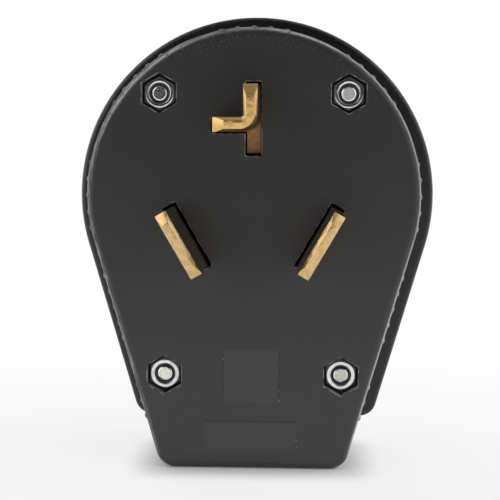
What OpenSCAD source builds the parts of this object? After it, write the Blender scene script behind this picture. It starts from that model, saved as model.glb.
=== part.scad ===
// Angle-type dryer plug, three blades, standing on its cord end.
// X runs to the right, Z up, and the blades point to the front, along -Y.
// The origin is the centre of the round end, on the flat mating face.

/* [Front body] */
// radius of the round end of the face
face_r = 40; // [37:0.1:43]
// slope of the two straight sides, degrees from upright
side_taper = 16.2; // [14:0.1:19]
// distance from the centre of the round end down to the foot of the body
tail_drop = 66.4; // [62:0.1:70]
// radius of the two lower corners of the body
tail_corner = 4.8; // [3.5:0.1:7]
// depth of the body behind its face
body_depth = 22; // [20:0.1:26]
// thickness of the face
face_t = 4; // [3.4:0.1:5]
// thickness of the side wall
wall_t = 3; // [2.5:0.1:3.6]
// rounding of the front edge
edge_round = 1.8; // [1:0.1:2.3]
// height of the solid foot that carries the cord channel
foot_h = 10; // [9.4:0.1:12]
// small chamfer round slots and nut pockets
mouth_chamfer = 0.2; // [0.15:0.05:0.45]

/* [Grip ribs] */
// number of ribs in a group
group_ribs = 5; // [3:1:6]
// distance from rib to rib along the wall
rib_pitch = 3.95; // [3.4:0.05:4.4]
// turn from group to group on the round end
group_turn = 45; // [40:1:60]
// distance from group to group along a straight side
group_pitch = 27.8; // [26:0.1:32]
// distance of the first group on a straight side from the round end
group_start = 16.7; // [14:0.1:18]
// radius of one half-round rib
rib_r = 1; // [0.8:0.05:1.2]
// how far a rib stands out from the wall
rib_bulge = 0.35; // [0.25:0.05:0.5]

/* [Back cover] */
// how far the rim of the cover stands out round the body
rim_step = 5.2; // [3.8:0.05:5.6]
// how far the cover sits lower than the round end of the body
rim_low = 1; // [0.6:0.1:1.5]
// thickness of the rim
rim_t = 4; // [3:0.1:5]
// how far the foot of the body stands out below the rim
tail_show = 8.1; // [7.7:0.1:9.1]
// radius of the lower corners of the rim
rim_corner = 4.4; // [3:0.1:6]
// how far the hollow back is set in from the rim
back_step = 2.5; // [1.8:0.1:2.9]
// depth of the cover, rim included
cover_depth = 22; // [20:0.1:26]
// wall thickness of the cover
cover_wall = 3; // [2.5:0.1:3.4]
// thickness of the flat back
back_t = 3; // [2.5:0.1:4]
// rounding of the back edge
back_round = 5; // [3:0.1:5.5]
// radius of the lower corners of the hollow back
back_corner = 8; // [7:0.1:11]

/* [Blades] */
// length of the blades in front of the face
blade_l = 22.2; // [18:0.1:26]
// width of a hot blade
hot_w = 16.3; // [15:0.1:17.5]
// thickness of a hot blade
hot_t = 2.8; // [2.2:0.1:3.2]
// distance of a hot blade from the middle
hot_x = 15.9; // [15:0.1:16.6]
// height of the hot blades, below the centre of the round end
hot_below = 9.9; // [9:0.1:12]
// slant of the hot blades from upright
hot_slant = 30; // [26:0.5:34]
// thickness of the neutral blade
neutral_t = 3.2; // [2.6:0.1:3.5]
// height of the middle of the neutral slot
neutral_y = 18.4; // [17.4:0.1:19.2]
// width of the tail of the neutral blade
neutral_w = 15.6; // [14.6:0.1:16.4]
// outside length of the upright leg of the neutral blade
neutral_leg = 10.6; // [9.8:0.1:11.4]
// outside length of the level leg of the neutral blade
neutral_arm = 10; // [9:0.1:11]
// inside radius of the bend in the neutral blade
neutral_bend = 0.7; // [0.5:0.1:1.8]
// depth at which the sheared tail of the neutral blade shows in its slot
shear_depth = 3; // [2:0.1:3.3]
// chamfer along the long edges of a blade tip
tip_chamfer = 0.7; // [0.3:0.05:1]
// length of the slope at the two ends of a blade tip
tip_slope = 2.6; // [1:0.1:3.2]
// gap on each side of a blade in its slot
slot_gap = 0.3; // [0.15:0.05:0.5]
// gap at each end of a blade in its slot
slot_end_gap = 0.65; // [0.4:0.05:0.9]
// gap past the end of the level leg of the neutral blade
arm_end_gap = 1.8; // [1:0.1:2.4]
// length of the terminal foot of a blade, from the middle of the blade
terminal_l = 14; // [13:0.1:14.6]

/* [Wire terminals] */
// distance of a terminal screw from the middle of its blade
screw_out = 8.2; // [7.8:0.1:8.6]
// distance of a terminal screw from the middle of its foot
screw_side = 2; // [1.7:0.1:2.6]
// diameter of a terminal screw
terminal_d = 5; // [4:0.1:5.4]
// head diameter of a terminal screw
terminal_head_d = 8.6; // [8:0.1:9]
// head height of a terminal screw
terminal_head_h = 3; // [2.2:0.1:3.6]
// thickness of a clamp plate
clamp_t = 1.8; // [1.4:0.1:2.4]
// length of a clamp plate along the wire
clamp_w = 10; // [9:0.1:10.4]
// width of a clamp plate across the wire
clamp_l = 9; // [8.6:0.1:10]
// radius of the posts of the cover that hold the blades down
post_r = 2; // [1.5:0.1:2.2]
// gap between a post and the foot that it holds
post_gap = 0.2; // [0.1:0.05:0.4]
// thickness of the two barrier walls between the wires
barrier_t = 1.6; // [1.2:0.1:2]
// length of a wall between two terminals
barrier_l = 30; // [20:1:32]
// how far such a wall stays short of the cover
barrier_gap = 4; // [2:0.5:8]

/* [Cover screws and nuts] */
// distance of the upper screws from the middle
upper_x = 22.55; // [22:0.05:23.2]
// height of the upper screws
upper_y = 24.4; // [23.4:0.1:25]
// distance of the lower screws from the middle
lower_x = 21.4; // [20.6:0.1:22]
// depth of the lower screws below the centre of the round end
lower_drop = 43.4; // [42:0.05:44.2]
// diameter of a cover screw
screw_d = 4; // [3.5:0.1:4.2]
// head diameter of a cover screw
head_d = 7; // [6.4:0.1:8]
// head height of a cover screw
head_h = 2.4; // [2:0.1:3]
// depth of the screw head below the flat back
head_sink = 0.8; // [0.3:0.1:1.4]
// width across the flats of a nut
nut_af = 7.1; // [6.8:0.1:7.4]
// height of a nut
nut_h = 5; // [4.4:0.1:6]
// height of the thread of a nut, below its lock ring
nut_thread_h = 3.2; // [2.6:0.1:3.4]
// depth of a nut below the face
nut_sink = 2; // [1:0.1:3]
// gap between a nut and each flat of its pocket
pocket_gap = 0.55; // [0.4:0.05:0.6]
// how far the screw ends stay below the top of the nuts
end_short = 0.3; // [0.1:0.05:0.6]
// radius of the bosses round the cover screws
boss_r = 6; // [5.7:0.1:6.3]

/* [Cord clamp] */
// radius of the round cord opening
cord_r = 9; // [7.5:0.1:9.6]
// thickness of the strap
strap_t = 2; // [1.2:0.1:2.6]
// width of the strap along the cord
strap_w = 7; // [6.4:0.1:7.2]
// gap between the strap and the foot of the body
strap_up = 0.4; // [0.2:0.1:0.6]
// distance of the strap screws from the middle
strap_x = 15.5; // [15:0.1:16.2]
// diameter of a strap screw
strap_screw_d = 4; // [3:0.1:4.2]
// head diameter of a strap screw
strap_head_d = 6.6; // [6:0.1:6.9]
// head height of a strap screw
strap_head_h = 2.4; // [1.8:0.1:3]
// radius of a threaded insert
insert_r = 3; // [2.7:0.1:3.4]
// length of a threaded insert
insert_l = 8; // [6:0.1:10]

/* [Clearances] */
// gap between a screw and the hole that it passes
hole_gap = 0.3; // [0.1:0.05:0.4]
// gap of a threaded or pressed fit
thread_gap = 0.03; // [0.02:0.01:0.06]

/* [Hidden] */
$fn = 96;
over = 0.5;
hair = 0.06;
arc_part = 1.25;
cover_z = -body_depth;
rim_z = cover_z - rim_t;
rim_mid = cover_z - rim_t / 2;
back_z = -body_depth - cover_depth;
foot_z = -face_t;
rim_r = face_r + rim_step;
back_r = rim_r - back_step;
rim_drop = tail_drop - tail_show;
rim_own_drop = rim_drop - rim_low;
back_drop = rim_own_drop - back_step;
hollow_r = face_r - wall_t;
hollow_drop = tail_drop - foot_h;
slot_t = max(hot_t, neutral_t) + 2 * slot_gap;
slot_l = max(hot_w, neutral_w) + 2 * slot_end_gap;
neutral_lo = neutral_y - slot_l / 2 + slot_end_gap;
neutral_hi = neutral_lo + neutral_w;
arm_lo = neutral_hi - neutral_leg;
arm_y = arm_lo + neutral_t / 2;
bend_x = -neutral_t / 2 - neutral_bend;
bend_y = arm_lo + neutral_t + neutral_bend;
arm_end = neutral_t / 2 - neutral_arm;
arm_slot_end = arm_end - arm_end_gap;
bend_cut = 0.586 * max(neutral_bend - slot_gap, 0.1);
pocket_af = nut_af + 2 * pocket_gap;
nut_top = -nut_sink;
nut_seat = -nut_sink - nut_h;
head_seat = back_z + head_sink + head_h;
screw_top = nut_top - end_short;
nut_top_r = nut_af / 2 - 0.15;
ring_lo = nut_seat + nut_thread_h;
ring_hi = nut_top - 0.5;
ring_out = nut_top_r - 0.6;
ring_lip = ring_out - 0.3;
strap_lo = -tail_drop + strap_up;
strap_y = strap_lo + strap_w / 2;
strap_z = cover_z - strap_t;
strap_tip = cover_z + insert_l - 1;
rib_end = -body_depth + 0.6;
barrier_x = hot_x - (hot_w / 2 + slot_end_gap) * sin(hot_slant) - slot_t / 2 - barrier_t / 2 - 0.2;
barrier_y = -hot_below - barrier_l * 2 / 3;
barrier_lo = cover_z + barrier_gap;
post_side = screw_side - clamp_w / 2 - post_r - 0.5;
screw_spots = [
    [upper_x, upper_y],
    [-upper_x, upper_y],
    [lower_x, -lower_drop],
    [-lower_x, -lower_drop]
];

// Everything is drawn lying face up, and stood on its cord end by this turn.
module stood() {
    rotate([90, 0, 0])
        children();
}

// Middle of a lower corner arc of a keyhole outline.
function corner_y(drop, corner) = corner - drop;
function corner_x(r, drop, corner) =
    (r - corner + sin(side_taper) * corner_y(drop, corner)) / cos(side_taper);

// Length of one straight side of a keyhole outline.
function side_l(r, drop, corner) =
    cos(side_taper) * -corner_y(drop, corner) - sin(side_taper) * corner_x(r, drop, corner);

// Flat keyhole outline: a round top, two straight sides, a level foot with round corners.
// The straight sides lie a hair inside the arcs, so that they cross them cleanly.
module keyhole(r, drop, corner) {
    cx = corner_x(r, drop, corner);
    cy = corner_y(drop, corner);
    nx = cos(side_taper);
    ny = -sin(side_taper);
    far = r - hair;
    near = corner - hair;
    circle(r);
    for (side = [-1, 1])
        translate([side * cx, cy])
            circle(corner);
    polygon([
        [0, 0], [far * nx, far * ny], [cx + near * nx, cy + near * ny],
        [cx, cy], [cx, cy - near], [-cx, cy - near], [-cx, cy],
        [-cx - near * nx, cy + near * ny], [-far * nx, far * ny]
    ]);
}

// Half section of a slab: x outwards up to w, y the height. The lower outer edge is rounded
// by an arc that meets the face and the wall at a slight angle.
module edge_profile(w, h, bend) {
    arc_r = arc_part * bend;
    arc_in = bend / 2 + sqrt(arc_r * arc_r / 2 - bend * bend / 4);
    intersection() {
        square([w, h]);
        union() {
            translate([w - arc_in, arc_in])
                circle(arc_r);
            translate([0, -over])
                square([w - arc_in, h + 2 * over]);
            translate([0, arc_in])
                square([w + over, h]);
        }
    }
}

// Keyhole slab with a rounded lower edge, put together from discs and straight bars, and
// trimmed level at its top. The bars lie a hair inside the discs and are rounded a hair less.
module round_slab(r, drop, corner, h, bend) {
    cx = corner_x(r, drop, corner);
    cy = corner_y(drop, corner);
    bar_bend = bend - hair / 2;
    intersection() {
        union() {
            rotate([0, 0, 90])
                rotate_extrude()
                    edge_profile(r, h + over, bend);
            for (side = [0, 1])
                mirror([side, 0, 0]) {
                    translate([cx, cy, 0])
                        rotate([0, 0, 180])
                            rotate_extrude()
                                edge_profile(corner, h + over, bend);
                    rotate([0, 0, -side_taper])
                        rotate([90, 0, 0])
                            linear_extrude(side_l(r, drop, corner))
                                edge_profile(r - hair, h + over, bar_bend);
                }
            translate([cx, 0, 0])
                rotate([0, 0, -90])
                    rotate([90, 0, 0])
                        linear_extrude(2 * cx)
                            edge_profile(drop - hair, h + over, bar_bend);
        }
        translate([-2 * r, -2 * drop, -over])
            cube([4 * r, 4 * drop, h + over]);
    }
}

// The same slab with its rounded edge at the top, its face at height z1.
module faced_slab(r, drop, corner, z0, z1, bend) {
    translate([0, 0, z1])
        mirror([0, 0, 1])
            round_slab(r, drop, corner, z1 - z0, bend);
}

// Straight keyhole prism.
module prism(r, drop, corner, z0, z1) {
    translate([0, 0, z0])
        linear_extrude(z1 - z0)
            keyhole(r, drop, corner);
}

// Upright cylinder between two heights.
module rod(r, z0, z1) {
    translate([0, 0, z0])
        cylinder(r = r, h = z1 - z0);
}

// Four-sided flare, wider at the top, used to chamfer the mouth of a slot.
module flare(w, t, c) {
    intersection() {
        rotate([90, 0, 0])
            linear_extrude(w + 4 * c, center = true)
                polygon([[-t / 2, -c], [t / 2, -c], [t / 2 + 2 * c, c], [-t / 2 - 2 * c, c]]);
        rotate([90, 0, 90])
            linear_extrude(t + 4 * c, center = true)
                polygon([[-w / 2, -c], [w / 2, -c], [w / 2 + 2 * c, c], [-w / 2 - 2 * c, c]]);
    }
}

// Slot through the face, its length along y.
module slot(w, t) {
    translate([-t / 2, -w / 2, -face_t - over])
        cube([t, w, face_t + 2 * over]);
    flare(w, t, mouth_chamfer);
}

// Hexagon prism with its points up and down.
module hexagon(af, z0, z1) {
    translate([0, 0, z0])
        rotate([0, 0, 30])
            cylinder(d = af / cos(30), h = z1 - z0, $fn = 6);
}

// Hexagon flare, wider at the top, used to chamfer the mouth of a nut pocket.
module hexagon_flare(af, c) {
    intersection() {
        hexagon_wedge(af, c);
        rotate([0, 0, 60])
            hexagon_wedge(af, c);
        rotate([0, 0, 120])
            hexagon_wedge(af, c);
    }
}

// One pair of opposite slopes of that flare.
module hexagon_wedge(af, c) {
    rotate([90, 0, 0])
        linear_extrude(2 * af, center = true)
            polygon([[-af / 2, -c], [af / 2, -c], [af / 2 + 2 * c, c], [-af / 2 - 2 * c, c]]);
}

// Puts what is drawn for a blade at the right (1) or left (-1) hot slot.
module at_hot(side) {
    mirror([side < 0 ? 1 : 0, 0, 0])
        translate([hot_x, -hot_below, 0])
            rotate([0, 0, -hot_slant])
                children();
}

// Puts what is drawn for a terminal at the neutral foot.
module at_neutral() {
    translate([0, neutral_lo + neutral_w / 2, 0])
        mirror([0, 1, 0])
            children();
}

// Groups of grip ribs on the round end and down the straight sides, as far as the rim reaches.
module grip_ribs() {
    arc_step = rib_pitch / face_r * 180 / PI;
    half = (group_ribs - 1) / 2;
    arc_groups = floor(90 / group_turn);
    run = (rim_drop - face_r * sin(side_taper)) / cos(side_taper) - 2 * rib_r;
    for (group = [-arc_groups:arc_groups], i = [-half:half])
        rotate([0, 0, 90 + group * group_turn + i * arc_step])
            translate([face_r, 0, 0])
                rib();
    for (side = [0, 1])
        mirror([side, 0, 0])
            rotate([0, 0, -side_taper])
                for (group = [0:floor(run / group_pitch)], i = [-half:half]) {
                    along = group_start + group * group_pitch + i * rib_pitch;
                    if (along < run)
                        translate([face_r, -along, 0])
                            rib();
                }
}

// One half-round rib with a sloped top.
module rib() {
    translate([rib_bulge - rib_r, 0, 0])
        rotate_extrude()
            polygon([
                [0, rib_end], [rib_r, rib_end], [rib_r, -edge_round * 0.85],
                [rib_r * 0.45, -edge_round * 0.5], [0, -edge_round * 0.5]
            ]);
}

// Moulded face, side wall, screw bosses and foot.
module front_body() {
    color([0.16, 0.16, 0.17])
        stood()
            difference() {
                union() {
                    difference() {
                        faced_slab(face_r, tail_drop + hair, tail_corner, -body_depth, 0, edge_round);
                        prism(hollow_r, hollow_drop, 2.4, -body_depth - over, -face_t);
                    }
                    for (spot = screw_spots)
                        translate(spot)
                            rod(boss_r, -body_depth, -face_t + over);
                    for (side = [-1, 1])
                        translate([side * barrier_x - barrier_t / 2, barrier_y, barrier_lo])
                            cube([barrier_t, barrier_l, -barrier_lo - face_t + over]);
                    grip_ribs();
                }
                translate([-face_r, -tail_drop - 10, -body_depth - over])
                    cube([2 * face_r, 10, body_depth + 2 * over]);
                for (side = [-1, 1])
                    at_hot(side) {
                        slot(slot_l, slot_t);
                        translate([screw_out, screw_side, 0])
                            rod(terminal_d / 2 + hole_gap, -face_t - over, -face_t + 1.6);
                    }
                translate([0, neutral_y, 0])
                    slot(slot_l, slot_t);
                translate([(arm_slot_end + slot_t / 2) / 2, arm_y, 0])
                    rotate([0, 0, 90])
                        slot(slot_t / 2 - arm_slot_end, slot_t);
                translate([-slot_t / 2, arm_y + slot_t / 2, -face_t - over])
                    linear_extrude(face_t + 2 * over)
                        polygon([[0.3, -0.3], [0.3, bend_cut + 0.3], [-bend_cut - 0.3, -0.3]]);
                at_neutral()
                    translate([screw_out, screw_side, 0])
                        rod(terminal_d / 2 + hole_gap, -face_t - over, -face_t + 1.6);
                for (spot = screw_spots)
                    translate(spot) {
                        hexagon(pocket_af, nut_seat, over);
                        hexagon_flare(pocket_af, mouth_chamfer);
                        rod(screw_d / 2 + hole_gap, -body_depth - over, nut_seat + over);
                    }
                for (side = [-1, 1])
                    translate([side * strap_x, strap_y, 0])
                        rod(insert_r + thread_gap, -body_depth - over, -body_depth + insert_l);
                translate([0, 0, cover_z])
                    rotate([90, 0, 0])
                        rod(cord_r, hollow_drop - over, tail_drop + over);
                translate([0, 0, cover_z])
                    rotate([90, 0, 0])
                        translate([0, 0, tail_drop - 1.2])
                            cylinder(r1 = cord_r, r2 = cord_r + 1.6, h = 1.6);
            }
}

// Moulded cover with its wide rim, hollow back, screw bosses and blade posts.
module back_cover() {
    color([0.11, 0.11, 0.12])
        stood()
            difference() {
                union() {
                    translate([0, -rim_low, 0])
                        difference() {
                            union() {
                                prism(rim_r, rim_own_drop, rim_corner, rim_z, cover_z);
                                translate([0, 0, back_z])
                                    round_slab(back_r, back_drop, back_corner, rim_mid - back_z, back_round);
                            }
                            prism(
                                back_r - cover_wall, back_drop - cover_wall, back_corner - cover_wall,
                                back_z + back_t, cover_z + over
                            );
                        }
                    for (spot = screw_spots)
                        translate(spot)
                            rod(boss_r, back_z + back_t - over, cover_z);
                    for (side = [-1, 1])
                        at_hot(side)
                            translate([screw_out, post_side, 0])
                                rod(post_r, back_z + back_t - over, foot_z - hot_t - post_gap);
                    at_neutral()
                        translate([screw_out, post_side, 0])
                            rod(post_r, back_z + back_t - over, foot_z - neutral_t - post_gap);
                }
                for (spot = screw_spots)
                    translate(spot) {
                        rod(screw_d / 2 + hole_gap, back_z - over, cover_z + over);
                        rod(head_d / 2 + 2 * hole_gap, back_z - over, head_seat);
                    }
                translate([0, 0, cover_z])
                    rotate([90, 0, 0])
                        rod(cord_r + 0.6, rim_drop - back_step - cover_wall - 2 * over, rim_drop + over);
            }
}

// Section of a flat blade with its bent foot: x across the blade, y its height.
module blade_section(t, top) {
    translate([-t / 2, foot_z])
        square([t, top - foot_z]);
    translate([t / 2, foot_z])
        intersection() {
            circle(t);
            translate([-t, -t])
                square(t);
        }
    translate([t / 2, foot_z - t])
        square([terminal_l - t / 2, t]);
}

// Sharp corners of a blade tip, to be cut away.
module tip_cut(t) {
    for (side = [-1, 1])
        polygon([
            [side * (t / 2 - tip_chamfer), blade_l + over],
            [side * (t / 2 - tip_chamfer), blade_l],
            [side * t / 2, blade_l - 2 * tip_chamfer],
            [side * (t / 2 + over), blade_l - 2 * tip_chamfer],
            [side * (t / 2 + over), blade_l + over]
        ]);
}

// Side view of a blade with sloped tip ends: x along its width, y its height.
module blade_front(lo, hi, bottom) {
    polygon([
        [lo, bottom], [hi, bottom], [hi, blade_l - tip_slope * 0.75],
        [hi - tip_slope, blade_l], [lo + tip_slope, blade_l],
        [lo, blade_l - tip_slope * 0.75]
    ]);
}

// Tapped hole in a terminal foot.
module terminal_hole() {
    translate([screw_out, screw_side, 0])
        rod(terminal_d / 2 + thread_gap, -body_depth, foot_z + over);
}

// Flat brass blade with its bent terminal foot.
module hot_blade(side) {
    color([0.78, 0.6, 0.27])
        stood()
            at_hot(side)
                difference() {
                    intersection() {
                        rotate([90, 0, 0])
                            linear_extrude(hot_w, center = true)
                                difference() {
                                    blade_section(hot_t, blade_l);
                                    tip_cut(hot_t);
                                }
                        rotate([90, 0, 90])
                            linear_extrude(4 * terminal_l, center = true)
                                blade_front(-hot_w / 2, hot_w / 2, -body_depth);
                    }
                    terminal_hole();
                }
}

// The left hot blade.
module hot_blade_left() {
    hot_blade(-1);
}

// The right hot blade.
module hot_blade_right() {
    hot_blade(1);
}

// Section of one leg of the neutral blade: x across the leg, y its height.
module leg_section() {
    difference() {
        translate([-neutral_t / 2, -shear_depth])
            square([neutral_t, blade_l + shear_depth]);
        tip_cut(neutral_t);
    }
}

// L-shaped brass blade bent from one strip, with its flat tail and terminal foot.
module neutral_blade() {
    color([0.78, 0.6, 0.27])
        stood()
            union() {
                intersection() {
                    translate([0, neutral_hi, 0])
                        rotate([90, 0, 0])
                            linear_extrude(neutral_hi - bend_y)
                                leg_section();
                    rotate([90, 0, 90])
                        linear_extrude(2 * neutral_t, center = true)
                            blade_front(bend_y - 2 * tip_slope, neutral_hi, -shear_depth);
                }
                intersection() {
                    translate([arm_end, arm_y, 0])
                        rotate([90, 0, 90])
                            linear_extrude(bend_x - arm_end)
                                leg_section();
                    translate([0, arm_y, 0])
                        rotate([90, 0, 0])
                            linear_extrude(2 * neutral_t, center = true)
                                blade_front(arm_end, bend_x + 2 * tip_slope, -shear_depth);
                }
                translate([bend_x, bend_y, 0])
                    rotate([0, 0, -90])
                        rotate_extrude(angle = 90)
                            translate([neutral_bend + neutral_t / 2, 0])
                                leg_section();
                difference() {
                    translate([0, neutral_hi, 0])
                        rotate([90, 0, 0])
                            linear_extrude(neutral_w)
                                blade_section(neutral_t, -shear_depth);
                    at_neutral()
                        terminal_hole();
                }
            }
}

// Wire clamping plate with a groove for the wire.
module clamp_plate(t) {
    top = foot_z - t;
    difference() {
        translate([screw_out - clamp_l / 2, screw_side - clamp_w / 2, top - clamp_t])
            cube([clamp_l, clamp_w, clamp_t]);
        translate([screw_out, screw_side, 0])
            rod(terminal_d / 2 + hole_gap, top - clamp_t - over, top + over);
        for (side = [-1, 1])
            translate([screw_out + side * (terminal_d / 2 + 1), screw_side + clamp_w, top + 0.4])
                rotate([90, 0, 0])
                    cylinder(r = 1, h = 2 * clamp_w);
    }
}

// Wire clamp of the left hot terminal.
module clamp_plate_left() {
    color([0.72, 0.74, 0.76])
        stood()
            at_hot(-1)
                clamp_plate(hot_t);
}

// Wire clamp of the right hot terminal.
module clamp_plate_right() {
    color([0.72, 0.74, 0.76])
        stood()
            at_hot(1)
                clamp_plate(hot_t);
}

// Wire clamp of the neutral terminal.
module clamp_plate_neutral() {
    color([0.72, 0.74, 0.76])
        stood()
            at_neutral()
                clamp_plate(neutral_t);
}

// Round-headed screw along z. The head hangs below its seat and the shank rises to the tip.
module headed_screw(d, head_width, head_height, seat, tip) {
    difference() {
        union() {
            rod(d / 2, seat - over, tip - 0.5);
            translate([0, 0, tip - 0.5])
                cylinder(r1 = d / 2, r2 = d / 2 - 0.45, h = 0.5);
            rod(head_width / 2, seat - head_height * 0.6, seat);
            translate([0, 0, seat - head_height])
                cylinder(r1 = head_width * 0.38, r2 = head_width / 2, h = head_height * 0.4);
        }
        for (turn = [0, 90])
            rotate([0, 0, turn])
                translate([-head_width * 0.26, -head_width * 0.06, seat - head_height - over])
                    cube([head_width * 0.52, head_width * 0.12, head_height * 0.5 + over]);
    }
}

// Terminal screw through its clamp plate into the foot of a blade.
module terminal_screw(t) {
    translate([screw_out, screw_side, 0])
        headed_screw(terminal_d, terminal_head_d, terminal_head_h, foot_z - t - clamp_t, foot_z + 1.2);
}

// Two brass screws of the hot terminals.
module hot_terminal_screws() {
    color([0.8, 0.62, 0.3])
        stood()
            for (side = [-1, 1])
                at_hot(side)
                    terminal_screw(hot_t);
}

// One plated screw of the neutral terminal.
module neutral_terminal_screw() {
    color([0.75, 0.76, 0.78])
        stood()
            at_neutral()
                terminal_screw(neutral_t);
}

// Four long screws that hold cover and body together.
module cover_screws() {
    color([0.7, 0.71, 0.73])
        stood()
            for (spot = screw_spots)
                translate(spot)
                    headed_screw(screw_d, head_d, head_h, head_seat, screw_top);
}

// Four lock nuts: a chamfered hexagon with its front edge turned over the lock ring.
module cover_nuts() {
    color([0.74, 0.75, 0.77])
        stood()
            for (spot = screw_spots)
                translate(spot)
                    difference() {
                        intersection() {
                            hexagon(nut_af, nut_seat, nut_top);
                            translate([0, 0, nut_top - nut_af])
                                cylinder(r1 = nut_top_r + 1.73 * nut_af, r2 = nut_top_r, h = nut_af);
                        }
                        rod(screw_d / 2 + thread_gap, nut_seat - over, ring_lo + over);
                        rod(ring_out + thread_gap, ring_lo, ring_hi);
                        rod(ring_lip, ring_lo + over, nut_top + over);
                    }
}

// Four nylon lock rings inside the nuts.
module nut_lock_rings() {
    color([0.2, 0.2, 0.22])
        stood()
            for (spot = screw_spots)
                translate(spot)
                    difference() {
                        rod(ring_out, ring_lo, ring_hi);
                        rod(screw_d / 2 + thread_gap, nut_seat, nut_top);
                    }
}

// Strap that presses the cord into the channel of the foot.
module cord_clamp() {
    ear = strap_x + strap_w / 2;
    color([0.68, 0.69, 0.71])
        stood()
            difference() {
                intersection() {
                    translate([0, strap_lo + strap_w, 0])
                        rotate([90, 0, 0])
                            linear_extrude(strap_w)
                                difference() {
                                    union() {
                                        translate([0, cover_z])
                                            circle(cord_r + strap_t);
                                        translate([-ear, strap_z])
                                            square([2 * ear, strap_t]);
                                    }
                                    translate([0, cover_z])
                                        circle(cord_r);
                                    translate([-2 * ear, cover_z])
                                        square([4 * ear, 2 * cord_r]);
                                }
                    translate([0, strap_y, back_z - cord_r])
                        linear_extrude(cover_depth + 2 * cord_r) {
                            square([2 * strap_x, strap_w + over], center = true);
                            for (side = [-1, 1])
                                translate([side * strap_x, 0])
                                    circle(d = strap_w);
                        }
                }
                for (side = [-1, 1])
                    translate([side * strap_x, strap_y, 0])
                        rod(strap_screw_d / 2 + hole_gap, strap_z - over, cover_z + over);
            }
}

// Two screws of the strap.
module cord_clamp_screws() {
    color([0.7, 0.71, 0.73])
        stood()
            for (side = [-1, 1])
                translate([side * strap_x, strap_y, 0])
                    headed_screw(strap_screw_d, strap_head_d, strap_head_h, strap_z, strap_tip);
}

// Two threaded brass inserts moulded into the foot of the body.
module cord_clamp_inserts() {
    color([0.75, 0.58, 0.28])
        stood()
            for (side = [-1, 1])
                translate([side * strap_x, strap_y, 0])
                    difference() {
                        rod(insert_r, cover_z, cover_z + insert_l);
                        rod(strap_screw_d / 2 + thread_gap, cover_z - over, cover_z + insert_l - 0.5);
                    }
}

front_body();
back_cover();
hot_blade_left();
hot_blade_right();
neutral_blade();
clamp_plate_left();
clamp_plate_right();
clamp_plate_neutral();
hot_terminal_screws();
neutral_terminal_screw();
cover_screws();
cover_nuts();
nut_lock_rings();
cord_clamp();
cord_clamp_screws();
cord_clamp_inserts();
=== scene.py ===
import math

import bmesh
import bpy
from mathutils import Matrix, Vector, noise


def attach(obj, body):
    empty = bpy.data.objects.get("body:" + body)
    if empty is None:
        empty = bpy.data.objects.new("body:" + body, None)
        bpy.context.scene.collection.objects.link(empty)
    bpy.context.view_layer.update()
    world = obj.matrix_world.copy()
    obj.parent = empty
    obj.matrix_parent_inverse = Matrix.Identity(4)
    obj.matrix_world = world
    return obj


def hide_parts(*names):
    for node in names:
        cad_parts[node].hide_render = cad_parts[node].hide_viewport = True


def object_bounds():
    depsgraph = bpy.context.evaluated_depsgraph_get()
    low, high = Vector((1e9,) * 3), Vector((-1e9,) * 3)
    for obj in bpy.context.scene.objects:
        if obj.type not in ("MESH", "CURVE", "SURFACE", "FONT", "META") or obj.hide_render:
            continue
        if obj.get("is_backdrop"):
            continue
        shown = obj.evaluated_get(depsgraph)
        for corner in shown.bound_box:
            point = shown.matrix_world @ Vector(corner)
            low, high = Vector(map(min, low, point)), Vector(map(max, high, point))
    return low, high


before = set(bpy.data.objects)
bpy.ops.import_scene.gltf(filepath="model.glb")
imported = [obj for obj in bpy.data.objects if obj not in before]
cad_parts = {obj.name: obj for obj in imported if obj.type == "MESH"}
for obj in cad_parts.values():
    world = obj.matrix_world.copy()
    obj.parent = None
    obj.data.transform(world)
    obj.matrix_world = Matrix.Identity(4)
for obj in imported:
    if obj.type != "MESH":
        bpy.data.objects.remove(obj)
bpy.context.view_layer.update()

# Front body
# The face and side wall of the plug are one black thermoset moulding, held to the cover by four long
# screws. Its rounded front edge carries a scuffed line of flash with a painted highlight, its face is
# painted paler towards the foot as a painted reflection, its mouths have painted highlights on their
# edges, and its pocket walls carry painted light.
mm = 0.001
face_r, side_taper = 40 * mm, math.radians(16.2)
tail_drop, tail_corner = 66.4 * mm, 4.8 * mm
body_depth, face_t, wall_t = 22 * mm, 4 * mm, 3 * mm
edge_round, joint_round = 1.8 * mm, 0.25 * mm
flash_wobble, flash_coarse, flash_fine = 0.05 * mm, 900, 2300
foot_h, hollow_corner = 10 * mm, 2.4 * mm
hot_x, hot_below, hot_slant = 15.9 * mm, 9.9 * mm, math.radians(30)
neutral_up = 18.4 * mm
arm_up, arm_slot_end = 16.85 * mm, -10.2 * mm
slot_l, slot_t, slot_corner = 17.6 * mm, 3.8 * mm, 0.25 * mm
pocket_af, pocket_depth = 8.2 * mm, 7 * mm
mouth_chamfer = 0.2 * mm
boss_r, hole_r, cord_r = 6 * mm, 2.3 * mm, 9 * mm
barrier_x, barrier_below = 8.6 * mm, 14.9 * mm
barrier_t, barrier_l, barrier_corner, barrier_back = 1.6 * mm, 30 * mm, 0.3 * mm, 18 * mm
insert_hole_r, insert_hole_front = 3.03 * mm, 14 * mm
overlap, overcut, flat_margin = 0.5 * mm, 1 * mm, 0.4 * mm
upper_screw = (22.55 * mm, 24.4 * mm)
lower_screw = (21.4 * mm, -43.4 * mm)
screw_spots = [(side * x, z) for x, z in (upper_screw, lower_screw) for side in (1, -1)]
strap_spots = [(side * 15.5 * mm, -62.5 * mm) for side in (-1, 1)]


def put(tree, kind, feeds=None, **settings):
    """Adds a node with its settings, and feeds its inputs from sockets or plain values."""
    node = tree.nodes.new(kind)
    for name, value in settings.items():
        setattr(node, name, value)
    for name, source in (feeds or {}).items():
        if isinstance(source, bpy.types.NodeSocket):
            tree.links.new(source, node.inputs[name])
        else:
            node.inputs[name].default_value = source
    return node


def calc(tree, operation, *values):
    """One Math node, and its output."""
    return put(tree, "ShaderNodeMath", dict(enumerate(values)), operation=operation).outputs[0]


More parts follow.
